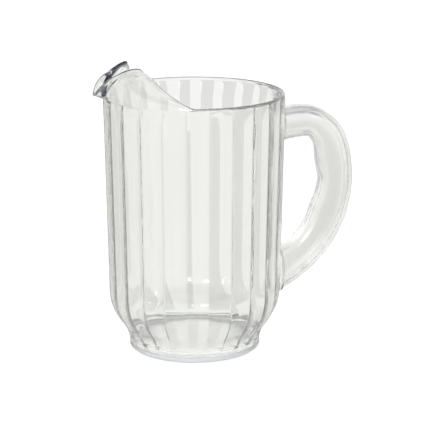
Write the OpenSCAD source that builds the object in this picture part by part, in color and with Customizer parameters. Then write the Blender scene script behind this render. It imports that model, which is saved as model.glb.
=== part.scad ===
// Clear plastic serving pitcher: a fluted body, a hooded spout collar and a hollow handle.
// The origin is on the body's axis at table level. The spout points along -X, the handle along +X.

/* [Rim and spout] */
// Outside diameter of the round rim
rim_d = 127; // [110:1:145]
// Height of the level rim above the table
rim_h = 184; // [160:1:210]
// Height of the spout's shoulders above the level rim
hood_rise = 22.2; // [14:0.2:28]
// How far the hood leans in over the mouth
hood_lean = 15.7; // [8:0.1:20]
// How far the spout's tip stands out past the rim
beak_reach = 9; // [5:0.5:15]
// Height of the collar's plain band under the level rim
band_h = 2.2; // [1.8:0.1:4]
// Thickness of the collar's wall at the lip
lip_t = 2; // [1.4:0.1:2.6]
// Height of the lip's rounded crown
crown_h = 0.6; // [0.3:0.1:1]

/* [Body] */
// Number of flat flutes round the body
flute_count = 24; // [16:2:36]
// Corner radius of the fluted wall where the base starts to draw in
shoulder_r = 61.4; // [57:0.1:62]
// Height at which the base starts to draw in
shoulder_z = 44; // [36:1:60]
// Thickness of the body's wall between two flute edges
wall = 3; // [2.6:0.1:4]
// Height of the arches that end the flutes under the rim
arch_h = 2.8; // [1.5:0.1:5]

/* [Foot and floor] */
// Outside diameter of the smooth foot ring
foot_d = 93.4; // [86:0.2:100]
// Height of the foot ring
foot_h = 4; // [3:0.5:6]
// How far the foot ring stands proud of the flute edges
foot_proud = 0.3; // [0.1:0.1:1]
// Radius on the foot ring's lower edge
foot_edge_r = 1.8; // [1:0.1:2.4]
// Width of the ring that rests on the table
foot_land = 4; // [3:0.5:6]
// Depth of the recess under the floor
recess_h = 2.2; // [1:0.1:3]
// Height of the inside floor above the table
floor_z = 6.5; // [6:0.1:8]
// Radius of the flat inside floor
floor_r = 39; // [35:0.5:41]
// Rise of the inner wall against the outer one through the drawn-in base
base_lift = 1.5; // [1:0.1:2]

/* [Handle] */
// How far the handle stands out from the pads on the body
handle_reach = 54.8; // [48:0.2:70]
// Height of the handle's lowest point above the table
handle_low_z = 35.5; // [33:0.5:45]
// Height of the handle from its lowest to its highest point
handle_h = 134.8; // [115:0.2:138]
// Depth of the grip, from the fingers to the palm
grip_depth = 25.5; // [20:0.5:28]
// Width of the grip across the hand
grip_w = 19; // [16:0.5:24]
// Width of the handle where it meets the body
root_w = 21.5; // [18:0.5:26]
// Wall of the handle on the palm side
palm_wall = 4.4; // [3.4:0.1:5]
// Wall of the handle on the finger side
finger_wall = 3.2; // [3:0.1:4.4]
// Wall of the handle on its two flanks
flank_wall = 3; // [2:0.1:4]
// How far the pads stand out past the rim's radius
pad_proud = 1.1; // [0.6:0.1:3]
// Margin of each pad round the end of the handle
pad_margin = 1.2; // [0.5:0.1:2]
// Length of the plugs that enter the handle's ends
plug_h = 3; // [2:0.5:5]

/* [Weld seams] */
// Width of the collar's tongue
tongue_w = 1; // [0.8:0.1:1.2]
// Depth of the collar's tongue
tongue_h = 1.5; // [1:0.1:2.5]
// Clearance round the collar's tongue
tongue_gap = 0.15; // [0.1:0.05:0.2]
// Width of the tongue along the handle's seam
seam_w = 1.2; // [0.8:0.1:1.4]
// Height of the tongue along the handle's seam
seam_h = 1; // [0.6:0.1:1.4]
// Clearance round the handle's tongue
seam_gap = 0.1; // [0.05:0.05:0.2]
// Least room between a plug and the handle round it
plug_gap = 2; // [1.6:0.1:2.4]

/* [Hidden] */

rim_r = rim_d / 2;
seam_z = rim_h - band_h;
half_flute = 180 / flute_count;
top_corner_r = rim_r / cos(half_flute);
foot_corner_r = foot_d / 2 - foot_proud;
pad_x = max(rim_r, shoulder_r) + pad_proud;
weld_r = rim_r - wall / 2;
// Length by which a cutting or joined solid runs on past the face that it meets
overrun = 1;

// The drawn-in base as shares: of the way out from foot to shoulder, and of the way up
taper_shares = [[0, 0], [0.04, 0.075], [0.10, 0.15], [0.173, 0.225], [0.29, 0.305], [0.48, 0.4],
    [0.655, 0.5], [0.79, 0.6], [0.885, 0.7], [0.95, 0.8], [0.985, 0.9], [1, 1]];

// Angles of the rim's stations from the spout's middle round to the level rim:
// at the lip's edge, at the crease under it, and at the foot of the collar
rim_angles = [[0, 0, 0], [3, 2.3, 2.5], [5.8, 4.7, 5], [8, 7.4, 8], [9.6, 10.3, 11.5],
    [12.3, 14, 16], [16.5, 18.3, 21], [21.5, 23, 26], [28, 29, 33], [39.7, 40, 43],
    [56.2, 56, 57.5], [73, 73, 73], [90, 90, 90]];
// Lean and rise at the same stations, for the edge and then for the crease.
// A positive lean is a share of the beak's reach, a negative one of the hood's lean.
rim_shares = [[1, 0.1, 0.145, -0.03], [0.9, 0.16, 0.1, 0.055], [0.65, 0.345, -0.02, 0.25],
    [0.29, 0.53, -0.115, 0.44], [-0.15, 0.71, -0.265, 0.62], [-0.52, 0.885, -0.48, 0.78],
    [-0.8, 0.977, -0.68, 0.885], [-1, 1, -0.825, 0.91], [-0.96, 0.915, -0.83, 0.83],
    [-0.8, 0.74, -0.695, 0.655], [-0.325, 0.385, -0.255, 0.315], [0, 0, 0, -0.03],
    [0, 0, 0, -0.03]];
hood_steps = 3;
level_steps = 22;
skirt_rows = 5;
lip_rows = 2;
// Where the skirt under the crease starts to leave the upright, as a share of its rise
upright_share = 0.55;

// The handle's palm side from the upper pad to the lower one: shares of its reach and height
palm_shares = [[0, 0.99], [0.153, 0.999], [0.281, 1], [0.418, 0.995], [0.555, 0.975],
    [0.688, 0.938], [0.803, 0.893], [0.891, 0.832], [0.956, 0.751], [0.991, 0.664], [1, 0.59],
    [0.989, 0.516], [0.962, 0.456], [0.92, 0.389], [0.861, 0.334], [0.781, 0.271], [0.681, 0.21],
    [0.544, 0.146], [0.381, 0.092], [0.203, 0.043], [0, 0]];
// The way from each of those points to the finger side, as shares of the grip's depth
finger_shares = [[0, 0.894], [0.04, 0.9], [0.086, 0.886], [0.176, 0.855], [0.314, 0.808],
    [0.478, 0.769], [0.667, 0.686], [0.839, 0.549], [0.965, 0.329], [0.992, 0.11],
    [0.965, -0.008], [0.98, -0.125], [0.996, -0.204], [1.004, -0.345], [0.941, -0.424],
    [0.863, -0.541], [0.784, -0.643], [0.667, -0.769], [0.463, -0.894], [0.227, -1.027],
    [0, -1.122]];
handle_steps = 2;
flank_steps = 10;
// Squareness of the handle's cross-section: 1 is an ellipse, less is squarer
squareness_share = 0.66;
// Length of the flare at each end of the handle, as a share of its stations
flare_share = 0.2;

// A smooth curve through a list of vectors, at station s counted from 0
function curve_at(list, s) =
    let (last = len(list) - 1, i = min(floor(s), last - 1), t = s - i,
        a = list[max(i - 1, 0)], b = list[i], c = list[i + 1], d = list[min(i + 2, last)])
    b + t * ((c - a) + t * ((2 * a - 5 * b + 4 * c - d) + t * (3 * b - a - 3 * c + d))) / 2;

function mix(a, b, t) = a + (b - a) * t;
function signed_power(v, e) = sign(v) * pow(abs(v), e);

// Solid through a row of equal loops of points. It is closed into a ring where end_faces is
// empty, and otherwise end_faces fills the first loop and, turned round, the last one.
// Each loop turns clockwise as seen from the next one, or the other way round with flip.
module loop_solid(loops, end_faces, flip) {
    rows = len(loops);
    size = len(loops[0]);
    closed = len(end_faces) == 0;
    sides = [for (i = [0 : rows - (closed ? 1 : 2)], j = [0 : size - 1])
        let (a = i * size, b = ((i + 1) % rows) * size, k = (j + 1) % size)
        each [[a + j, b + j, a + k], [a + k, b + j, b + k]]];
    last_faces = [for (f = end_faces)
        [for (j = [len(f) - 1 : -1 : 0]) (rows - 1) * size + f[j]]];
    faces = concat(sides, end_faces, last_faces);
    polyhedron([for (loop = loops) each loop],
        flip ? [for (f = faces) [for (j = [len(f) - 1 : -1 : 0]) f[j]]] : faces);
}

// Body moulding

// Corner radius and height of the fluted wall at each station of the base, and at the seam
fluted_profile = concat([[foot_corner_r, foot_h / 2]],
    [for (s = taper_shares)
        [mix(foot_corner_r, shoulder_r, s[0]), mix(foot_h, shoulder_z, s[1])]],
    [[top_corner_r, seam_z]]);

module fluted_solid() {
    loop_solid([for (p = fluted_profile) [for (i = [0 : flute_count - 1])
        let (a = (2 * i + 1) * half_flute) [p[0] * cos(a), p[0] * sin(a), p[1]]]],
        [[for (i = [0 : flute_count - 1]) i]], false);
}

// The round envelope that ends each flute in an arch under the rim
module arch_envelope() {
    clear_r = max(top_corner_r, shoulder_r) + overrun;
    rotate_extrude($fn = 96)
        polygon([[0, 0], [clear_r, 0], [clear_r, seam_z - arch_h],
            [top_corner_r, seam_z - arch_h], [rim_r, seam_z], [0, seam_z]]);
}

module foot_ring() {
    foot_r = foot_d / 2;
    rotate_extrude($fn = 96) {
        square([foot_r - foot_edge_r, foot_h]);
        translate([0, foot_edge_r]) square([foot_r, foot_h - foot_edge_r]);
        translate([foot_r - foot_edge_r, foot_edge_r]) circle(foot_edge_r, $fn = 48);
    }
}

module foot_recess() {
    land_r = foot_d / 2 - foot_edge_r - foot_land;
    translate([0, 0, -overrun]) cylinder(r = land_r, h = recess_h + overrun, $fn = 96);
}

module inside_space() {
    rotate_extrude($fn = 96)
        polygon(concat([[0, floor_z], [floor_r, floor_z]],
            [for (k = [1 : len(taper_shares) - 1])
                [fluted_profile[k + 1][0] * cos(half_flute) - wall,
                    fluted_profile[k + 1][1] + base_lift]],
            [[rim_r - wall, seam_z], [rim_r - wall, seam_z + overrun], [0, seam_z + overrun]]));
}

module weld_groove() {
    groove_w = tongue_w + 2 * tongue_gap;
    rotate_extrude($fn = 96)
        translate([weld_r - groove_w / 2, seam_z - tongue_h - tongue_gap])
            square([groove_w, tongue_h + tongue_gap + overrun]);
}

// Outline of a handle end, upright in a plane across X, grown or shrunk by an amount
function end_outline(i, grow) =
    let (f = handle_frame(i), a = f[1] + grow, b = f[3] + grow)
    [for (k = [0 : 2 * flank_steps - 1])
        let (t = 180 * k / flank_steps)
        [b * signed_power(sin(t), squareness_share),
            f[0][1] + a * signed_power(cos(t), squareness_share)]];

module end_block(i, grow, from_x, to_x) {
    translate([from_x, 0, 0]) rotate([90, 0, 90])
        linear_extrude(to_x - from_x) polygon(end_outline(i, grow));
}

module fluted_vessel() {
    color("aliceblue", 0.5) {
        difference() {
            union() {
                intersection() {
                    fluted_solid();
                    arch_envelope();
                }
                foot_ring();
                for (i = [0, handle_last])
                    end_block(i, pad_margin, min(rim_r, shoulder_r) - 2 * wall, pad_x);
            }
            inside_space();
            foot_recess();
            weld_groove();
        }
        for (i = [0, handle_last])
            end_block(i, -palm_wall - plug_gap, pad_x - overrun, pad_x + plug_h);
    }
}

// Spout collar

// Rim stations with the first one past the middle mirrored in front, so the curve runs through:
// three angles, then the edge's lean and rise and the crease's lean and rise
rim_stations = [for (i = [-1 : len(rim_angles) - 1])
    concat((i < 0 ? -1 : 1) * rim_angles[abs(i)], rim_shares[abs(i)])];
hood_stations = len(rim_angles) - 2;
hood_columns = hood_stations * hood_steps;
half_columns = hood_columns + level_steps;
level_angle = rim_angles[hood_stations][0];

// Values at column k of one half, which runs from the spout's middle to the handle's side
function column_values(k) = k <= hood_columns
    ? curve_at(rim_stations, 1 + k / hood_steps)
    : let (a = mix(level_angle, 180, (k - hood_columns) / level_steps))
        concat([a, a, a], rim_shares[hood_stations]);

function lean_r(share) = rim_r + share * (share > 0 ? beak_reach : hood_lean);
function rim_point(angle, lean, rise) = [-lean_r(lean) * cos(angle), lean_r(lean) * sin(angle),
    rim_h - crown_h + rise * hood_rise];
function round_point(r, angle, z) = [-r * cos(angle), r * sin(angle), z];

// A point of the collar's outside at column k: v runs 0 to 1 up the skirt to the crease,
// then 1 to 2 from the crease to the lip's edge
function collar_outside(k, v) =
    let (q = column_values(k), edge = rim_point(q[0], q[3], q[4]),
        crease = rim_point(q[1], q[5], q[6]), base = round_point(rim_r, q[2], seam_z),
        bend = [base[0], base[1], mix(base[2], crease[2], upright_share)])
    v > 1 ? mix(crease, edge, v - 1)
        : mix(mix(base, bend, v), mix(bend, crease, v), v);

function unit(v) = v / norm(v);
// Directions up the collar's outside and out of it, from short steps along the surface
step_share = 0.05;
function collar_up(k, v) = unit(
    collar_outside(k, min(v + step_share, 2)) - collar_outside(k, max(v - step_share, 0)));
function collar_outward(k, v) =
    let (along = collar_outside(k + step_share, v) - collar_outside(k - step_share, v))
    unit(cross(collar_up(k, v), along));

function collar_inside(k, v) = collar_outside(k, v)
    - collar_outward(k, v) * mix(wall, lip_t, v / 2);

// The collar's closed cross-section at column k, with its tongue underneath
function collar_loop(k) =
    let (angle = column_values(k)[2], inner_r = weld_r - tongue_w / 2,
        outer_r = weld_r + tongue_w / 2,
        rise = concat([for (i = [1 : skirt_rows]) i / skirt_rows],
            [for (i = [1 : lip_rows]) 1 + i / lip_rows]),
        lip_middle = (collar_outside(k, 2) + collar_inside(k, 2)) / 2)
    concat([round_point(rim_r, angle, seam_z)], [for (v = rise) collar_outside(k, v)],
        [lip_middle + collar_up(k, 2) * crown_h],
        [for (i = [len(rise) - 1 : -1 : 0]) collar_inside(k, rise[i])],
        [round_point(rim_r - wall, angle, seam_z), round_point(inner_r, angle, seam_z),
            round_point(inner_r, angle, seam_z - tongue_h),
            round_point(outer_r, angle, seam_z - tongue_h), round_point(outer_r, angle, seam_z)]);

function flip_y(loop) = [for (p = loop) [p[0], -p[1], p[2]]];

module spout_collar() {
    half = [for (k = [0 : half_columns]) collar_loop(k)];
    color("aliceblue", 0.5)
        loop_solid(concat(half, [for (k = [half_columns - 1 : -1 : 1]) flip_y(half[k])]),
            [], false);
}

// Handle

handle_last = len(palm_shares) - 1;
function handle_width(s) =
    let (t = min(1, min(s, handle_last - s) / (flare_share * handle_last)))
    mix(root_w, grip_w, t * t * (3 - 2 * t));

// Middle, half depth, direction towards the palm and half width of the handle at station s
function handle_frame(s) =
    let (palm = curve_at(palm_shares, s), way = curve_at(finger_shares, s) * grip_depth,
        palm_point = [pad_x + palm[0] * handle_reach, handle_low_z + palm[1] * handle_h])
    [palm_point - way / 2, norm(way) / 2, unit(way), handle_width(s) / 2];

// A point at p towards the palm and q out to the flank, on the side given as 1 or -1
function handle_point(f, p, q, side) = [f[0][0] + p * f[2][0], side * q, f[0][1] + p * f[2][1]];
function arc_point(middle, a, b, t) = [middle + a * signed_power(cos(t), squareness_share),
    b * signed_power(sin(t), squareness_share)];

// Cross-section of one half shell: a lip of height ridge, above or below the seam, runs along
// the middle of both of its seam faces
function shell_loop(s, side, ridge, ridge_w) =
    let (f = handle_frame(s), a = f[1], b = f[3], cavity_a = a - (palm_wall + finger_wall) / 2,
        cavity_middle = (finger_wall - palm_wall) / 2, cavity_b = b - flank_wall,
        palm_lip = a - palm_wall / 2, finger_lip = -a + finger_wall / 2,
        section = concat([for (k = [0 : flank_steps]) arc_point(0, a, b, 180 * k / flank_steps)],
            [[finger_lip - ridge_w / 2, 0], [finger_lip - ridge_w / 2, ridge],
                [finger_lip + ridge_w / 2, ridge], [finger_lip + ridge_w / 2, 0]],
            [for (k = [flank_steps : -1 : 0])
                arc_point(cavity_middle, cavity_a, cavity_b, 180 * k / flank_steps)],
            [[palm_lip - ridge_w / 2, 0], [palm_lip - ridge_w / 2, ridge],
                [palm_lip + ridge_w / 2, ridge], [palm_lip + ridge_w / 2, 0]]))
    [for (c = section) handle_point(f, c[0], c[1], side)];

// Faces that fill the end of a half shell between its outer and inner arcs
function shell_end(groove) =
    let (n = flank_steps, finger = n + 1, inner = 2 * n + 5, palm = inner + 1)
    concat([for (k = [1 : n - 2]) each [[k, k + 1, inner - k - 1], [k, inner - k - 1, inner - k]]],
        lip_faces([1, 0], [inner - 1, inner], [for (j = [3 : -1 : 0]) palm + j], groove, true),
        lip_faces([n - 1, n], [n + 6, n + 5], [for (j = [0 : 3]) finger + j], groove, false));

// Faces round a lip: outer and inner hold a point of each arc and its end on the seam
function lip_faces(outer, inner, lip, groove, turn) =
    let (open = [[outer[0], outer[1], lip[0]], [outer[0], lip[0], lip[1]],
            [outer[0], lip[1], lip[2]], [outer[0], lip[2], inner[0]],
            [inner[0], lip[2], lip[3]], [inner[0], lip[3], inner[1]]],
        filled = [[outer[0], outer[1], lip[0]], [outer[0], lip[0], lip[3]],
            [outer[0], lip[3], inner[0]], [inner[0], lip[3], inner[1]],
            [lip[0], lip[1], lip[2]], [lip[0], lip[2], lip[3]]])
    [for (f = groove ? open : filled) turn ? [f[2], f[1], f[0]] : f];

module handle_half(side, ridge, ridge_w) {
    loop_solid([for (i = [0 : handle_last * handle_steps])
        shell_loop(i / handle_steps, side, ridge, ridge_w)], shell_end(ridge > 0), side > 0);
}

module handle_left_half() {
    color("white", 0.6) handle_half(-1, -seam_h, seam_w);
}

module handle_right_half() {
    color("whitesmoke", 0.6) handle_half(1, seam_h + seam_gap, seam_w + 2 * seam_gap);
}

fluted_vessel();
spout_collar();
handle_left_half();
handle_right_half();
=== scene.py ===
# A clear plastic serving pitcher: a fluted body, a hooded spout collar and a hollow handle.
# Lengths are in metres. The axis of the body is Z, the spout points along -X, the handle along +X.
from math import atan2, cos, floor, pi, radians, sin, sqrt

import bmesh
import bpy
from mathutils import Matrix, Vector


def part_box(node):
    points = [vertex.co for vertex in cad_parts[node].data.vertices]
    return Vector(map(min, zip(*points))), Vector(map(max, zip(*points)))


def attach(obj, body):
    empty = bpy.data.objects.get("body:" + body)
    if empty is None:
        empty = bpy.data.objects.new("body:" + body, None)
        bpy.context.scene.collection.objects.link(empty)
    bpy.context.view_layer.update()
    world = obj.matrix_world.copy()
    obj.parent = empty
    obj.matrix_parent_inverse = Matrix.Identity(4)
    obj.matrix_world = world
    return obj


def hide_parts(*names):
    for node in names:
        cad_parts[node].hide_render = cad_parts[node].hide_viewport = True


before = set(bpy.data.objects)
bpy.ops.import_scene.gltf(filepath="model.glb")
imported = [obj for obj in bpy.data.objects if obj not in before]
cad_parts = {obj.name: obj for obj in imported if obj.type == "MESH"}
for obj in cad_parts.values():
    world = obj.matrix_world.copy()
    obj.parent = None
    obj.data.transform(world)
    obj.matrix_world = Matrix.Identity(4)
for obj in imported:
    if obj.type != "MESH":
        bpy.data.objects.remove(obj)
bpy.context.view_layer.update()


# Body moulding
# A clear polycarbonate shell with flat flutes outside and an inside wall that bulges in a little
# behind each, drawn in at the base to a plain foot ring. One moulding carries the two pads that the
# handle is welded onto, with a plug on each, and the groove that takes the tongue of the collar.
mm = 0.001
vessel_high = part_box("fluted_vessel")[1]
rim_r = vessel_high[1]
seam_z = vessel_high[2]
flute_count = 24
half_flute = pi / flute_count
wall = 3 * mm
shoulder_r = 61.4 * mm
shoulder_z = 44 * mm
top_corner_r = rim_r / cos(half_flute)
arch_h = 2.7 * mm
flute_edge_r = 2 * mm
foot_r = 46.7 * mm
foot_h = 4 * mm
foot_corner_r = 46.4 * mm
foot_edge_r = 1.8 * mm
foot_top_edge_r = 0.25 * mm
recess_r = 40.9 * mm
recess_h = 2.2 * mm
recess_edge_r = 0.5 * mm
# Height up to which the foot's land is worn rough and tinted with painted contact shade
worn_and_shaded_h = 3 * mm
underside_r = foot_r - 1.5 * mm
floor_z = 6.5 * mm
floor_r = 39 * mm
# How much higher the base lies inside than outside
base_lift = 1.5 * mm
groove_depth = 1.65 * mm
groove_half_w = 0.65 * mm
groove_middle_r = rim_r - wall / 2
groove_outer_r = groove_middle_r + groove_half_w
groove_inner_r = groove_middle_r - groove_half_w
groove_z = seam_z - groove_depth
# Points nearer than merge_gap are one point, and faces within a hair of a surface belong to it
merge_gap = 0.001 * mm
hair = 0.1 * mm
# The drawn-in base as shares of the way out from foot to shoulder, and of the way up
taper_shares = [(0, 0), (0.04, 0.075), (0.10, 0.15), (0.173, 0.225), (0.29, 0.305), (0.48, 0.4),
                (0.655, 0.5), (0.79, 0.6), (0.885, 0.7), (0.95, 0.8), (0.985, 0.9), (1, 1)]
# Rows of the wall, as shares of the way up outside and of the way down inside
outer_wall_shares = (0.02, 0.5, 0.9)
inner_wall_shares = (0.045, 0.1, 0.5, 0.98)
# Rows of the base. The floor takes the place of the lowest three inside.
outer_base_steps = 33
inner_base_steps = 22
inner_base_first = 3
small_edge_steps = 3
foot_edge_steps = 8
# Places of the mesh's columns on half a flute, as shares of the way from its edge to its middle
column_shares = (0, 0.0156, 0.0312, 0.08, 0.31, 0.54, 0.77, 1)
# The inside wall's bulge behind a flute, where 0 is a round wall, 1 a flat one, and more stands in.
# It ends a little short of the flute's edge.
lobe_share = 2.25
lobe_end = (1 - column_shares[2]) * half_flute
# How a row of points follows the flutes, and where a face's material stands in the vessel's list
ROUND, FLUTED, ARCH, LOBED = 0, 1, 2, 3
WELD, UNDERSIDE, LAND = 1, 2, 3


def mix(a, b, share):
    """The value or point that lies a share of the way from a to b."""
    return a + (b - a) * share


def curve_at(points, s):
    """A point of the smooth curve through a list of points, at station s counted from 0."""
    last = len(points) - 1
    i = min(floor(s), last - 1)
    t = s - i
    before, after = points[max(i - 1, 0)], points[min(i + 2, last)]
    return [b + t * ((c - a) + t * ((2 * a - 5 * b + 4 * c - d) + t * (3 * b - a - 3 * c + d))) / 2
            for a, b, c, d in zip(before, points[i], points[i + 1], after)]


def arc(middle_r, middle_z, radius, start, end, steps):
    """Points of a round profile stretch, with its angles in degrees."""
    turns = [radians(mix(start, end, i / steps)) for i in range(steps + 1)]
    return [(middle_r + radius * cos(a), middle_z + radius * sin(a)) for a in turns]


def base_curve(steps):
    """The drawn-in base, from the foot to the shoulder, as flute edge radii and heights."""
    stations = len(taper_shares) - 1
    shares = [curve_at(taper_shares, stations * i / steps) for i in range(steps + 1)]
    return [(mix(foot_corner_r, shoulder_r, s[0]), mix(foot_h, shoulder_z, s[1])) for s in shares]


def flute_radius(edge_r, turn):
    """Radius of a flat flute with rounded edges, at an angle counted from its middle."""
    flat_r = edge_r * cos(half_flute)
    to_edge = half_flute - abs(turn)
    centre = (flat_r - flute_edge_r) / cos(half_flute)
    if centre * sin(to_edge) < flute_edge_r * sin(half_flute):
        return centre * cos(to_edge) + sqrt(flute_edge_r ** 2 - (centre * sin(to_edge)) ** 2)
    return flat_r / cos(turn)


def lobe_radius(middle_r, turn):
    """Radius of the inside wall, which bulges in behind each flute, at an angle from its middle."""
    lobe_turn = min(abs(turn), lobe_end)
    return middle_r * (1 + lobe_share * (1 / cos(lobe_turn) - 1))


def spin_profile(points, kinds, steps):
    """A mesh turned from a profile of radii and heights; each vertex keeps its row's kind."""
    bm = bmesh.new()
    kind_layer = bm.verts.layers.int.new("kind")
    chain = [bm.verts.new((r, 0, z)) for r, z in points]
    for vert, kind in zip(chain, kinds):
        vert[kind_layer] = kind
    for low, high in zip(chain, chain[1:]):
        bm.edges.new((low, high))
    bmesh.ops.spin(bm, geom=bm.verts[:] + bm.edges[:], cent=(0, 0, 0), axis=(0, 0, 1),
                   dvec=(0, 0, 0), angle=2 * pi, steps=steps, use_merge=True,
                   use_normal_flip=False, use_duplicate=False)
    bmesh.ops.remove_doubles(bm, verts=bm.verts[:], dist=merge_gap)
    return bm


def finish_mesh(bm, name):
    """The finished mesh object of a piece, smooth but for edges sharper than 30 degrees."""
    bmesh.ops.recalc_face_normals(bm, faces=bm.faces[:])
    if bm.calc_volume(signed=True) < 0:
        bmesh.ops.reverse_faces(bm, faces=bm.faces[:])
    sharp_turn = radians(30)
    for edge in bm.edges:
        edge.smooth = edge.calc_face_angle(0) < sharp_turn
    mesh = bpy.data.meshes.new(name)
    bm.to_mesh(mesh)
    bm.free()
    for face in mesh.polygons:
        face.use_smooth = True
    piece = bpy.data.objects.new(name, mesh)
    bpy.context.scene.collection.objects.link(piece)
    return piece


outer_base = base_curve(outer_base_steps)
inner_base = [(r * cos(half_flute) - wall, z + base_lift)
              for r, z in base_curve(inner_base_steps)[inner_base_first:]]
profile = [(0, recess_h), (recess_r / 2, recess_h)]
profile += arc(recess_r - recess_edge_r, recess_h - recess_edge_r, recess_edge_r, 90, 0,
               small_edge_steps)
profile += arc(recess_r + recess_edge_r, recess_edge_r, recess_edge_r, 180, 270,
               small_edge_steps)
profile += arc(foot_r - foot_edge_r, foot_edge_r, foot_edge_r, -90, 0, foot_edge_steps)
profile += arc(foot_r - foot_top_edge_r, foot_h - foot_top_edge_r, foot_top_edge_r, 0, 90,
               small_edge_steps)
kinds = [ROUND] * len(profile)
profile += outer_base
kinds += [FLUTED] * len(outer_base)
profile += [(mix(shoulder_r, top_corner_r, s), mix(shoulder_z, seam_z, s))
            for s in outer_wall_shares]
kinds += [FLUTED] * len(outer_wall_shares)
profile += [(top_corner_r, seam_z - arch_h)]
kinds += [ARCH]
seam = [(rim_r, seam_z), (groove_outer_r, seam_z), (groove_outer_r, groove_z),
        (groove_inner_r, groove_z), (groove_inner_r, seam_z), (rim_r - wall, seam_z)]
profile += seam
kinds += [ROUND] * len(seam)
inside = [(mix(rim_r - wall, shoulder_r * cos(half_flute) - wall, s),
           mix(seam_z, shoulder_z + base_lift, s)) for s in inner_wall_shares]
inside += inner_base[::-1] + [(floor_r, floor_z)]
profile += inside
kinds += [LOBED] * len(inside)
profile += [(floor_r / 2, floor_z), (0, floor_z)]
kinds += [ROUND] * 2

columns_a_flute = 2 * (len(column_shares) - 1)
body = spin_profile(profile, kinds, flute_count * columns_a_flute)
kind_layer = body.verts.layers.int["kind"]
for vert in body.verts:
    x, y, z = vert.co
    r = sqrt(x * x + y * y)
    if r < mm:
        continue
    column = round((atan2(y, x) / (2 * half_flute) + 0.5) * columns_a_flute)
    flute, place = divmod(column, columns_a_flute)
    from_edge = min(place, columns_a_flute - place)
    turn = (1 - column_shares[from_edge]) * half_flute
    turn = turn if place > from_edge else -turn
    if vert[kind_layer] == FLUTED:
        r = flute_radius(r, turn)
    if vert[kind_layer] == LOBED:
        r = lobe_radius(r, turn)
    if vert[kind_layer] == ARCH:
        r = flute_radius(top_corner_r, turn)
        rise = (top_corner_r - r) / (top_corner_r - rim_r)
        z = seam_z - arch_h + rise * (arch_h - hair)
    angle = 2 * half_flute * flute + turn
    vert.co = (r * cos(angle), r * sin(angle), z)


def moulding_flow():
    """Node group of how the plastic flowed in the mould: slow clouds and a finer ripple."""
    group = bpy.data.node_groups.new("moulding_flow", "ShaderNodeTree")
    for name, value in (("Cloud Scale", 9), ("Ripple Scale", 40), ("Roughness Low", 0.02),
                        ("Roughness High", 0.06)):
        group.interface.new_socket(name, in_out="INPUT", socket_type="NodeSocketFloat")
        group.interface.items_tree[name].default_value = value
    for name in ("Cloud", "Roughness", "Ripple"):
        group.interface.new_socket(name, in_out="OUTPUT", socket_type="NodeSocketFloat")
    nodes, link = group.nodes, group.links.new
    given, out = nodes.new("NodeGroupInput"), nodes.new("NodeGroupOutput")
    place = nodes.new("ShaderNodeTexCoord")
    clouds, ripple = nodes.new("ShaderNodeTexNoise"), nodes.new("ShaderNodeTexNoise")
    clouds.inputs["Detail"].default_value = 3
    ripple.inputs["Detail"].default_value = 1
    spread = nodes.new("ShaderNodeMapRange")
    link(place.outputs["Object"], clouds.inputs["Vector"])
    link(place.outputs["Object"], ripple.inputs["Vector"])
    link(given.outputs["Cloud Scale"], clouds.inputs["Scale"])
    link(given.outputs["Ripple Scale"], ripple.inputs["Scale"])
    link(clouds.outputs["Fac"], spread.inputs["Value"])
    link(given.outputs["Roughness Low"], spread.inputs["To Min"])
    link(given.outputs["Roughness High"], spread.inputs["To Max"])
    link(clouds.outputs["Fac"], out.inputs["Cloud"])
    link(spread.outputs["Result"], out.inputs["Roughness"])
    link(ripple.outputs["Fac"], out.inputs["Ripple"])
    return group


flow_group = moulding_flow()
plastic_ior = 1.58


def see_through_plastic(name, pale, deep, rough=(0.01, 0.03), ripple_depth=0.02 * mm,
                        alpha=0.95, one_sided=None):
    """Moulded plastic between two tints, with a range of roughness and a ripple in metres.

    What alpha lacks of 1 is the share of light that passes straight through. A one-sided tint,
    "front" or "back" and a colour, acts only on faces seen from that side.
    """
    material = bpy.data.materials.new(name)
    material.use_nodes = True
    nodes, link = material.node_tree.nodes, material.node_tree.links.new
    plastic, output = nodes["Principled BSDF"], nodes["Material Output"]
    plastic.inputs["IOR"].default_value = plastic_ior
    plastic.inputs["Transmission Weight"].default_value = 1
    plastic.inputs["Alpha"].default_value = alpha
    flow = nodes.new("ShaderNodeGroup")
    flow.node_tree = flow_group
    flow.inputs["Roughness Low"].default_value = rough[0]
    flow.inputs["Roughness High"].default_value = rough[1]
    tint = nodes.new("ShaderNodeMix")
    tint.data_type = "RGBA"
    tint.inputs["A"].default_value = pale
    tint.inputs["B"].default_value = deep
    bump = nodes.new("ShaderNodeBump")
    bump.inputs["Strength"].default_value = 1
    bump.inputs["Distance"].default_value = ripple_depth
    light_path, clear = nodes.new("ShaderNodeLightPath"), nodes.new("ShaderNodeBsdfTransparent")
    shadow = nodes.new("ShaderNodeMixShader")
    link(flow.outputs["Cloud"], tint.inputs["Factor"])
    link(tint.outputs["Result"], plastic.inputs["Base Color"])
    if one_sided:
        geometry, sided = nodes.new("ShaderNodeNewGeometry"), nodes.new("ShaderNodeMix")
        tinted, plain = ("A", "B") if one_sided[0] == "front" else ("B", "A")
        sided.data_type = "RGBA"
        sided.inputs[tinted].default_value = one_sided[1]
        link(geometry.outputs["Backfacing"], sided.inputs["Factor"])
        link(tint.outputs["Result"], sided.inputs[plain])
        link(sided.outputs["Result"], plastic.inputs["Base Color"])
    link(flow.outputs["Roughness"], plastic.inputs["Roughness"])
    link(flow.outputs["Ripple"], bump.inputs["Height"])
    link(bump.outputs["Normal"], plastic.inputs["Normal"])
    link(light_path.outputs["Is Shadow Ray"], shadow.inputs["Fac"])
    link(plastic.outputs["BSDF"], shadow.inputs[1])
    link(clear.outputs["BSDF"], shadow.inputs[2])
    link(shadow.outputs["Shader"], output.inputs["Surface"])
    return material


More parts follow.
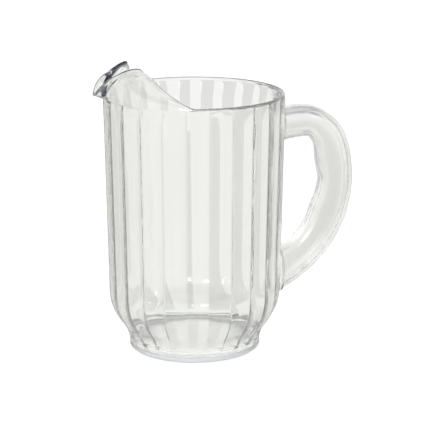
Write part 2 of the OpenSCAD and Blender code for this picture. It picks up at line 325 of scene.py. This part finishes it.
clear_body = see_through_plastic("clear_body", pale=(0.984, 0.987, 0.966, 1),
                                 deep=(0.954, 0.962, 0.935, 1))
matt_underside = see_through_plastic("matt_underside", pale=(0.985, 0.987, 0.975, 1),
                                     deep=(0.955, 0.962, 0.945, 1), rough=(0.06, 0.1),
                                     ripple_depth=0.03 * mm)
# The foot's land is rough from wear, and its blue-grey tint is painted contact shade from the table
# under it.
worn_and_shaded_land = see_through_plastic("worn_and_shaded_land", pale=(0.88, 0.9, 0.95, 1),
                                deep=(0.82, 0.84, 0.9, 1), rough=(0.3, 0.4),
                                ripple_depth=0.03 * mm)
# Material of the faces that the weld melts together, so that light passes them straight
clear_weld = bpy.data.materials.new("clear_weld")
clear_weld.use_nodes = True
clear_weld.node_tree.nodes["Principled BSDF"].inputs["Alpha"].default_value = 0


def melt_weld(piece):
    """Gives the faces of the seam between body and collar the weld's material."""
    piece.data.materials.append(clear_weld)
    for face in piece.data.polygons:
        x, y, z = face.center
        between = rim_r - wall + hair < sqrt(x * x + y * y) < rim_r - hair
        if between and groove_z - hair < z < seam_z + hair:
            face.material_index = WELD


# The pads stand a little proud of the flutes, with rounded fronts, and each carries a plug
plug_len = 3 * mm
plug_overlap = 1 * mm
pad_x = vessel_high[0] - plug_len
pad_half_w = 10.75 * mm
pad_margin = 1.2 * mm
pad_edge_r = 0.4 * mm
plug_inset = 6.4 * mm
block_corners = 64
# The power that turns a circle into a squarish oval: 1 is round, and less is squarer
squareness = 0.66
# Middle height and half height of the handle's two ends, and where each pad starts in the wall
pads = ((157.55 * mm, 11.4 * mm, 61.3 * mm), (49.8 * mm, 14.3 * mm, 58.65 * mm))


def signed_power(value, power):
    """The power of a number's size, with the number's sign."""
    return (1 if value >= 0 else -1) * abs(value) ** power


def end_block(middle_z, half_h, half_w, from_x, to_x):
    """A squarish round block along X, with a rounded front, as a mesh object."""
    bm = bmesh.new()
    bmesh.ops.create_circle(bm, cap_ends=True, radius=1, segments=block_corners)
    for vert in bm.verts:
        x, y, z = vert.co
        vert.co = (from_x, half_w * signed_power(x, squareness),
                   middle_z + half_h * signed_power(y, squareness))
    front = bmesh.ops.extrude_face_region(bm, geom=bm.faces[:])["geom"]
    bmesh.ops.translate(bm, verts=[v for v in front if isinstance(v, bmesh.types.BMVert)],
                        vec=(to_x - from_x, 0, 0))
    rims = [e for e in front if isinstance(e, bmesh.types.BMEdge)]
    bmesh.ops.bevel(bm, geom=rims, offset=pad_edge_r, segments=small_edge_steps, profile=0.5,
                    affect="EDGES", material=-1)
    return finish_mesh(bm, "welding_pad")


def join_blocks(piece, blocks):
    """The piece with the blocks united to it; the blocks themselves go."""
    for block in blocks:
        union = piece.modifiers.new("union", "BOOLEAN")
        union.operation = "UNION"
        union.solver = "MANIFOLD"
        union.object = block
    graph = bpy.context.evaluated_depsgraph_get()
    united = bpy.data.meshes.new_from_object(piece.evaluated_get(graph))
    piece.modifiers.clear()
    piece.data = united
    for block in blocks:
        bpy.data.objects.remove(block)


fluted_vessel = finish_mesh(body, "fluted_vessel_clear")
blocks = []
for middle_z, half_h, from_x in pads:
    blocks += [end_block(middle_z, half_h + pad_margin, pad_half_w + pad_margin, from_x, pad_x),
               end_block(middle_z, half_h - plug_inset, pad_half_w - plug_inset,
                         pad_x - plug_overlap, vessel_high[0])]
for part in [fluted_vessel] + blocks:
    part.data.materials.append(clear_body)
join_blocks(fluted_vessel, blocks)
melt_weld(fluted_vessel)
fluted_vessel.data.materials.append(matt_underside)
fluted_vessel.data.materials.append(worn_and_shaded_land)
for face in fluted_vessel.data.polygons:
    if face.center.z < recess_h + hair and face.center.xy.length < underside_r:
        face.material_index = UNDERSIDE
    # The lowest few millimetres of the foot take the land's wear and its painted contact shade.
    if face.center.z < worn_and_shaded_h and face.center.xy.length > recess_r:
        face.material_index = LAND
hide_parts("fluted_vessel")
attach(fluted_vessel, "root")


# Spout collar
# The clear rim ring with the hooded, pinched pouring spout. The hood leans in over the mouth, so
# it is a moulding of its own, with a tongue that is welded into the groove round the body's top.
rim_h = 184 * mm
hood_rise = 22.1 * mm
hood_lean = 15.7 * mm
beak_reach = 8.9 * mm
lip_t = 2 * mm
crown_h = 0.6 * mm
tongue_depth = 1.5 * mm
tongue_half_w = 0.5 * mm
tongue_outer_r = groove_middle_r + tongue_half_w
tongue_inner_r = groove_middle_r - tongue_half_w
tongue_z = seam_z - tongue_depth
weld_gap = 0.02 * mm
# Angles of the rim's stations from the spout's middle round to the level rim, in degrees:
# at the lip's edge, at the crease under it, and at the foot of the collar
rim_angles = [(0, 0, 0), (3, 2.3, 2.5), (5.8, 4.7, 5), (8, 7.4, 8), (9.6, 10.3, 11.5),
              (12.3, 14, 16), (16.5, 18.3, 21), (21.5, 23, 26), (28, 29, 33), (39.7, 40, 43),
              (56.2, 56, 57.5), (73, 73, 73), (90, 90, 90)]
# Lean and rise at the same stations, for the edge and then for the crease. A positive lean is
# a share of the beak's reach, a negative one of the hood's lean, and a rise of the hood's rise.
rim_shares = [(1, 0.1, 0.145, -0.03), (0.9, 0.16, 0.1, 0.055), (0.65, 0.345, -0.02, 0.25),
              (0.29, 0.53, -0.115, 0.44), (-0.15, 0.71, -0.265, 0.62), (-0.52, 0.885, -0.48, 0.78),
              (-0.8, 0.977, -0.68, 0.885), (-1, 1, -0.825, 0.91), (-0.96, 0.915, -0.83, 0.83),
              (-0.8, 0.74, -0.695, 0.655), (-0.325, 0.385, -0.255, 0.315), (0, 0, 0, -0.03),
              (0, 0, 0, -0.03)]
# The skirt starts straight up, and turns towards the crease about this share of its height
upright_share = 0.55
hood_steps = 9
level_steps = 36
# Rows up the skirt to the crease at 1, and on to the lip's edge at 2
skirt_rows = (0, 0.12, 0.25, 0.4, 0.55, 0.7, 0.84, 0.94, 1, 1.06, 1.16, 1.3, 1.5, 1.75, 2)
crown_rows = 6
# The rim's crown leads some light away down the wall, and that is painted in as a grey tint:
# painted shade.
# The crease of the spout's wings leads away nearly all, and is painted blue-black as shade seen
# from the mouth's side, and so are the lip and its crown some way round from the spout's middle,
# from where the angles are counted.
dark_crease_rows = (1, 1.3)
dark_lip_start = radians(9.2)
dark_crease_end = radians(25)
CLEAR, GREY_CROWN, DARK_BACK, DARK_FRONT, DARK_CROWN = 0, 2, 3, 4, 5
# Directions on the collar's outside are measured over this share of a column or a row
short_step = 0.05
seed_ring_r = 1 * mm

rim_stations = [[-a for a in rim_angles[1]] + list(rim_shares[1])]
rim_stations += [list(a) + list(b) for a, b in zip(rim_angles, rim_shares)]
hood_stations = len(rim_angles) - 2
hood_columns = hood_stations * hood_steps
half_columns = hood_columns + level_steps


def column_values(k):
    """Angles, leans and rises at column k, counted from the spout's middle to the handle side."""
    if k <= hood_columns:
        return curve_at(rim_stations, 1 + k / hood_steps)
    angle = mix(rim_angles[hood_stations][0], 180, (k - hood_columns) / level_steps)
    return [angle] * 3 + list(rim_shares[hood_stations])


def round_point(r, degrees, z):
    """A point at a radius and a height, at an angle round from the spout's middle."""
    return Vector((-r * cos(radians(degrees)), r * sin(radians(degrees)), z))


def lean_point(degrees, lean, rise):
    """A point of the rim, leaning out by a share of the beak's reach or in by the hood's lean."""
    r = rim_r + lean * (beak_reach if lean > 0 else hood_lean)
    return round_point(r, degrees, rim_h - crown_h + rise * hood_rise)


def collar_outside(k, v):
    """A point of the outside: v runs 0 to 1 up the skirt, then 1 to 2 up to the lip's edge."""
    q = column_values(k)
    edge = lean_point(q[0], q[3], q[4])
    crease = lean_point(q[1], q[5], q[6])
    foot = round_point(rim_r, q[2], seam_z)
    bend = Vector((foot.x, foot.y, mix(foot.z, crease.z, upright_share)))
    if v > 1:
        return mix(crease, edge, v - 1)
    return mix(mix(foot, bend, v), mix(bend, crease, v), v)


def collar_up(k, v):
    """Direction of the outside up the skirt and the lip."""
    step = collar_outside(k, min(v + short_step, 2)) - collar_outside(k, max(v - short_step, 0))
    return step.normalized()


def collar_outward(k, v):
    """Direction straight out of the outside."""
    along = collar_outside(k + short_step, v) - collar_outside(k - short_step, v)
    return collar_up(k, v).cross(along).normalized()


def collar_inside(k, v):
    """A point of the inside, behind the same point of the outside."""
    return collar_outside(k, v) - collar_outward(k, v) * mix(wall, lip_t, v / 2)


def collar_section(k):
    """The closed cross-section at column k, from its outer foot over the lip to the tongue."""
    degrees = column_values(k)[2]
    outer, inner = collar_outside(k, 2), collar_inside(k, 2)
    up = collar_up(k, 2) * crown_h
    turns = [pi * i / crown_rows for i in range(1, crown_rows)]
    foot_z = seam_z + weld_gap
    return ([round_point(rim_r, degrees, foot_z)]
            + [collar_outside(k, v) for v in skirt_rows[1:]]
            + [(outer + inner) / 2 + (outer - inner) / 2 * cos(t) + up * sin(t) for t in turns]
            + [collar_inside(k, v) for v in skirt_rows[:0:-1]]
            + [round_point(r, degrees, z) for r, z in (
                (rim_r - wall, foot_z), (tongue_inner_r, foot_z), (tongue_inner_r, tongue_z),
                (tongue_outer_r, tongue_z), (tongue_outer_r, foot_z))])


def spin_ring(count, steps):
    """A ring of count rows turned round the axis; each vertex keeps the number of its row."""
    bm = bmesh.new()
    row_layer = bm.verts.layers.int.new("row")
    turns = [2 * pi * i / count for i in range(count)]
    ring = [bm.verts.new((-rim_r + seed_ring_r * cos(t), 0, seed_ring_r * sin(t))) for t in turns]
    for i, vert in enumerate(ring):
        vert[row_layer] = i
        bm.edges.new((vert, ring[i - 1]))
    bmesh.ops.spin(bm, geom=bm.verts[:] + bm.edges[:], cent=(0, 0, 0), axis=(0, 0, -1),
                   dvec=(0, 0, 0), angle=2 * pi, steps=steps, use_merge=True,
                   use_normal_flip=False, use_duplicate=False)
    return bm


sections = [collar_section(k) for k in range(half_columns + 1)]
collar = spin_ring(len(sections[0]), 2 * half_columns)
row_layer = collar.verts.layers.int["row"]
for vert in collar.verts:
    k = round(atan2(vert.co.y, -vert.co.x) / pi * half_columns)
    point = sections[abs(k)][vert[row_layer]]
    vert.co = (point.x, -point.y if k < 0 else point.y, point.z)
crease_start, crease_top = [skirt_rows.index(row) for row in dark_crease_rows]
lip_row = len(skirt_rows) - 1
crown_top = lip_row + crown_rows
# Faces of the lip's crown, the wings' crease and the lip near the spout get the painted shade.
for face in collar.faces:
    rows = [vert[row_layer] for vert in face.verts]
    middle = face.calc_center_median()
    turn = abs(atan2(middle.y, -middle.x))
    if min(rows) >= lip_row and max(rows) <= crown_top:
        dark = dark_lip_start < turn < dark_crease_end
        face.material_index = DARK_CROWN if dark else GREY_CROWN
    dark_top = crease_top if turn < dark_lip_start else lip_row
    inner_rows = [crown_top + lip_row - row for row in rows]
    for skin_rows, slot in ((rows, DARK_BACK), (inner_rows, DARK_FRONT)):
        if min(skin_rows) >= crease_start and max(skin_rows) <= dark_top:
            face.material_index = slot if turn < dark_crease_end else CLEAR
spout_collar = finish_mesh(collar, "spout_collar_clear")
collar_pale = (0.99, 0.993, 0.974, 1)
collar_deep = (0.965, 0.972, 0.948, 1)
shade_blue_black = (0.003, 0.004, 0.012, 1)
clear_collar = see_through_plastic("clear_collar", collar_pale, collar_deep, alpha=0.9)
spout_collar.data.materials.append(clear_collar)
melt_weld(spout_collar)
# The crown's grey and the blue-black of the crease, the lip and its crown are painted shade for the
# light that the wall leads away.
grey_crown_shade = see_through_plastic("grey_crown_shade", pale=(0.3, 0.31, 0.33, 1),
                                 deep=(0.22, 0.23, 0.25, 1))
spout_collar.data.materials.append(grey_crown_shade)
for side in ("back", "front"):
    dark_side = see_through_plastic("dark_" + side, collar_pale, collar_deep, alpha=0.99,
                                    one_sided=(side, shade_blue_black))
    spout_collar.data.materials.append(dark_side)
dark_crown_shade = see_through_plastic("dark_crown_shade", pale=shade_blue_black, deep=(0.002, 0.003, 0.008, 1),
                                 alpha=0.99)
spout_collar.data.materials.append(dark_crown_shade)
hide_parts("spout_collar")
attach(spout_collar, "root")


# Handle halves
# Two moulded half shells of slightly milky plastic, welded together along a tongue and groove
# in the middle plane, which makes a light hollow grip. Their open ends are welded to the pads.
handle_low, handle_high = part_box("handle_left_half")
handle_reach = handle_high[0] - pad_x
handle_low_z = handle_low[2]
handle_h = 134.8 * mm
grip_depth = 25.5 * mm
grip_w = 19 * mm
root_w = 21.5 * mm
palm_wall = 4.4 * mm
finger_wall = 3.2 * mm
flank_wall = 3 * mm
seam_w = 1.2 * mm
seam_h = 1 * mm
seam_gap = 0.1 * mm
# Share of the handle's length over which each end widens from the grip to the root
flare_share = 0.2
handle_steps = 5
flank_steps = 20
# The palm side from the upper pad to the lower one: shares of the reach and of the height
palm_shares = [(0, 0.99), (0.153, 0.999), (0.281, 1), (0.418, 0.995), (0.555, 0.975),
               (0.688, 0.938), (0.803, 0.893), (0.891, 0.832), (0.956, 0.751), (0.991, 0.664),
               (1, 0.59), (0.989, 0.516), (0.962, 0.456), (0.92, 0.389), (0.861, 0.334),
               (0.781, 0.271), (0.681, 0.21), (0.544, 0.146), (0.381, 0.092), (0.203, 0.043),
               (0, 0)]
# The way from each of those points to the finger side, as shares of the grip's depth
finger_shares = [(0, 0.894), (0.04, 0.9), (0.086, 0.886), (0.176, 0.855), (0.314, 0.808),
                 (0.478, 0.769), (0.667, 0.686), (0.839, 0.549), (0.965, 0.329), (0.992, 0.11),
                 (0.965, -0.008), (0.98, -0.125), (0.996, -0.204), (1.004, -0.345),
                 (0.941, -0.424), (0.863, -0.541), (0.784, -0.643), (0.667, -0.769),
                 (0.463, -0.894), (0.227, -1.027), (0, -1.122)]
handle_last = len(palm_shares) - 1


def handle_frame(s):
    """Middle, direction towards the palm, half depth and half width of the handle at station s."""
    palm, way = curve_at(palm_shares, s), curve_at(finger_shares, s)
    palm_point = Vector((pad_x + palm[0] * handle_reach, 0, handle_low_z + palm[1] * handle_h))
    way = Vector((way[0], 0, way[1])) * grip_depth
    t = min(1, min(s, handle_last - s) / (flare_share * handle_last))
    width = mix(root_w, grip_w, t * t * (3 - 2 * t))
    return palm_point - way / 2, way.normalized(), way.length / 2, width / 2


def oval_arc(middle, half_depth, half_width):
    """Half of a squarish oval from the palm side to the finger side, as depths and widths."""
    turns = [pi * i / flank_steps for i in range(flank_steps + 1)]
    return [(middle + half_depth * signed_power(cos(t), squareness),
             half_width * signed_power(max(sin(t), 0), squareness)) for t in turns]


def half_section(s, side, ridge, ridge_w):
    """One half shell's cross-section at station s, with its lip of height ridge on each seam."""
    middle, palm_way, depth, width = handle_frame(s)
    shift = (finger_wall - palm_wall) / 2
    inner_depth = depth - (palm_wall + finger_wall) / 2
    palm_lip, finger_lip = depth - palm_wall / 2, finger_wall / 2 - depth
    section = oval_arc(0, depth, width)
    section += [(finger_lip - ridge_w / 2, 0), (finger_lip - ridge_w / 2, ridge),
                (finger_lip + ridge_w / 2, ridge), (finger_lip + ridge_w / 2, 0)]
    section += oval_arc(shift, inner_depth, width - flank_wall)[::-1]
    section += [(palm_lip - ridge_w / 2, 0), (palm_lip - ridge_w / 2, ridge),
                (palm_lip + ridge_w / 2, ridge), (palm_lip + ridge_w / 2, 0)]
    return [middle + palm_way * p + Vector((0, side * (q + weld_gap), 0)) for p, q in section]


def handle_half(name, side, ridge, ridge_w):
    """One half shell, drawn out section by section from the upper pad to the lower one."""
    bm = bmesh.new()
    row_layer = bm.verts.layers.int.new("row")
    rows = half_section(0, side, ridge, ridge_w)
    ring = [bm.verts.new(point) for point in rows]
    edges = [bm.edges.new((ring[i], ring[i - 1])) for i in range(len(ring))]
    for i, vert in enumerate(ring):
        vert[row_layer] = i
    ends = [edges]
    for step in range(1, handle_last * handle_steps + 1):
        points = half_section(step / handle_steps, side, ridge, ridge_w)
        drawn = bmesh.ops.extrude_edge_only(bm, edges=edges)["geom"]
        edges = [e for e in drawn if isinstance(e, bmesh.types.BMEdge)]
        for vert in (v for v in drawn if isinstance(v, bmesh.types.BMVert)):
            vert.co = points[vert[row_layer]]
    ends.append(edges)
    caps = [face for end in ends
            for face in bmesh.ops.contextual_create(bm, geom=end)["faces"]]
    bmesh.ops.triangulate(bm, faces=caps)
    return finish_mesh(bm, name)


milky_handle = see_through_plastic("milky_handle", pale=(0.965, 0.967, 0.95, 1),
                                   deep=(0.935, 0.938, 0.92, 1), rough=(0.12, 0.18),
                                   ripple_depth=0.03 * mm)
handle_left = handle_half("handle_left_milky", -1, -seam_h, seam_w)
handle_right = handle_half("handle_right_milky", 1, seam_h + seam_gap, seam_w + 2 * seam_gap)
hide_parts("handle_left_half")
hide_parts("handle_right_half")
for half in (handle_left, handle_right):
    half.data.materials.append(milky_handle)
    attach(half, "root")


# Floor
# A wide pale sheet. It shows white to the camera and still takes the pitcher's soft shadow,
# because part of its light is reflected and part is its own. Light that has passed through the
# plastic doesn't meet it: the world shows such light a white floor.
floor_size = 12
reflected_share = 0.4
own_share = 0.7
floor_mesh = bpy.data.meshes.new("floor")
sheet = bmesh.new()
bmesh.ops.create_grid(sheet, x_segments=1, y_segments=1, size=floor_size / 2)
sheet.to_mesh(floor_mesh)
sheet.free()
floor_sheet = bpy.data.objects.new("floor", floor_mesh)
bpy.context.scene.collection.objects.link(floor_sheet)
paper = bpy.data.materials.new("pale_floor")
paper.use_nodes = True
nodes, link = paper.node_tree.nodes, paper.node_tree.links.new
paper_look = nodes["Principled BSDF"].inputs
paper_look["Base Color"].default_value = (reflected_share,) * 3 + (1,)
paper_look["Roughness"].default_value = 1
paper_look["Specular IOR Level"].default_value = 0
paper_look["Emission Color"].default_value = (1, 1, 1, 1)
seen, glow = nodes.new("ShaderNodeLightPath"), nodes.new("ShaderNodeMath")
glow.operation = "MULTIPLY"
glow.inputs[1].default_value = own_share
link(seen.outputs["Is Camera Ray"], glow.inputs[0])
link(glow.outputs["Value"], paper_look["Emission Strength"])
floor_mesh.materials.append(paper)
floor_sheet.visible_transmission = False


# Light
# An even white room for the floor. The plastic sees grey and white cards standing round it, which
# give its flutes two tones, and a band of dark ceiling. There are two soft boxes.
studio = bpy.data.worlds.new("studio")
bpy.context.scene.world = studio
studio.use_nodes = True
nodes, link = studio.node_tree.nodes, studio.node_tree.links.new
background = nodes["Background"]
# The camera looks along +Y, turned by this angle towards the handle
view_turn = radians(17.5)
# Degrees right of the camera's line of sight, and the brightness of the card that starts there
cards = [(-180, 1), (-170, 0.72), (-158, 1), (-138, 0.75), (-126, 1), (-108, 0.72), (-96, 1),
         (-75, 0.72), (-48, 1), (-34, 0.8), (-24, 0.94), (-16, 0.74), (-10, 0.94), (0, 0.74),
         (15, 0.82), (22, 1), (30, 0.8), (38, 1), (52, 0.72), (68, 1), (86, 0.72), (98, 1),
         (116, 0.75), (128, 1), (146, 0.72), (158, 1)]
# Where the white floor and wall and the dark and white ceiling begin and where they are full, as
# sines of the angle over the horizon. The ceiling is dark in a band round its white middle, which
# the plastic's sharp edges show as dark blue lines.
floor_sines = (-0.34, -0.4)
wall_sines = (-0.2, -0.17)
dark_ceiling_sines = (0.5, 0.65)
white_ceiling_sines = (0.8, 0.9)
ceiling_blue = (0.1, 0.11, 0.17, 1)


def node_value(operation, a, b=0):
    """The output of a math node on sockets or plain numbers."""
    math = nodes.new("ShaderNodeMath")
    math.operation = operation
    for socket, value in zip(math.inputs, (a, b)):
        if isinstance(value, (int, float)):
            socket.default_value = value
        else:
            link(value, socket)
    return math.outputs["Value"]


def fade(value, start, end):
    """A share that rises from 0 at start to 1 at end."""
    ramped = nodes.new("ShaderNodeMapRange")
    ramped.inputs["From Min"].default_value = start
    ramped.inputs["From Max"].default_value = end
    link(value, ramped.inputs["Value"])
    return ramped.outputs["Result"]


seen, way = nodes.new("ShaderNodeLightPath"), nodes.new("ShaderNodeTexCoord")
turned, split = nodes.new("ShaderNodeVectorRotate"), nodes.new("ShaderNodeSeparateXYZ")
turned.rotation_type = "Z_AXIS"
turned.inputs["Angle"].default_value = view_turn
link(way.outputs["Generated"], turned.inputs["Vector"])
link(turned.outputs["Vector"], split.inputs["Vector"])
height = split.outputs["Z"]
right_turn = node_value("ARCTAN2", split.outputs["X"], split.outputs["Y"])
share = node_value("ADD", node_value("DIVIDE", right_turn, 2 * pi), 0.5)
ramp = nodes.new("ShaderNodeValToRGB")
ramp.color_ramp.interpolation = "CONSTANT"
stops = ramp.color_ramp.elements
stops.remove(stops[1])
stops[0].position, stops[0].color = 0, (cards[0][1],) * 3 + (1,)
for degrees, value in cards[1:]:
    stops.new(degrees / 360 + 0.5).color = (value, value, value, 1)
link(share, ramp.inputs["Fac"])
white = node_value("MAXIMUM", fade(height, *floor_sines), fade(height, *wall_sines))
card_light = node_value("MAXIMUM", ramp.outputs["Color"], white)
plain = node_value("MAXIMUM", seen.outputs["Is Camera Ray"], seen.outputs["Is Diffuse Ray"])
link(node_value("MAXIMUM", plain, card_light), background.inputs["Strength"])
ceiling = nodes.new("ShaderNodeMix")
ceiling.data_type = "RGBA"
ceiling.inputs["A"].default_value = (1, 1, 1, 1)
ceiling.inputs["B"].default_value = ceiling_blue
band = node_value("SUBTRACT", fade(height, *dark_ceiling_sines),
                  fade(height, *white_ceiling_sines))
overhead = node_value("SUBTRACT", band, plain)
link(node_value("MAXIMUM", overhead, 0), ceiling.inputs["Factor"])
link(ceiling.outputs["Result"], background.inputs["Color"])


body_middle = Vector((0, 0, 0.1))


def soft_box(name, place, size, power):
    """A rectangular lamp of a power in watts that faces the middle of the body."""
    lamp = bpy.data.lights.new(name, "AREA")
    lamp.shape = "RECTANGLE"
    lamp.size, lamp.size_y = size
    lamp.energy = power
    box = bpy.data.objects.new(name, lamp)
    box.location = place
    box.rotation_euler = (body_middle - Vector(place)).to_track_quat("-Z", "Y").to_euler()
    bpy.context.scene.collection.objects.link(box)


soft_box("left_soft_box", place=(-0.9, -1.9, 1.05), size=(0.5, 0.4), power=10)
soft_box("right_soft_box", place=(1.5, -1.2, 1.6), size=(0.2, 0.25), power=2)


# Camera
# It stands at the photograph's place: 1.2 m away and well above the rim, with the spout turned
# towards it by view_turn. Its angles are in radians, and focal_px is its focal length in pixels
# of the photograph, which is frame_px wide.
view_distance = 1.2
view_height = 405.4 * mm
view_yaw = 0.0123
view_pitch = 0.253
focal_px = 1741
frame_px = 430
sensor_mm = 36
camera_data = bpy.data.cameras.new("camera")
camera_data.sensor_width = sensor_mm
camera_data.lens = sensor_mm * focal_px / frame_px
camera = bpy.data.objects.new("camera", camera_data)
camera.location = (-view_distance * sin(view_turn), -view_distance * cos(view_turn), view_height)
camera.rotation_euler = (pi / 2 - view_pitch, 0, -view_turn - view_yaw)
bpy.context.scene.collection.objects.link(camera)
bpy.context.scene.camera = camera
bpy.context.scene.view_settings.view_transform = "Standard"
# Light is led along inside a clear wall by many reflections before it leaves
bpy.context.scene.cycles.glossy_bounces = 12
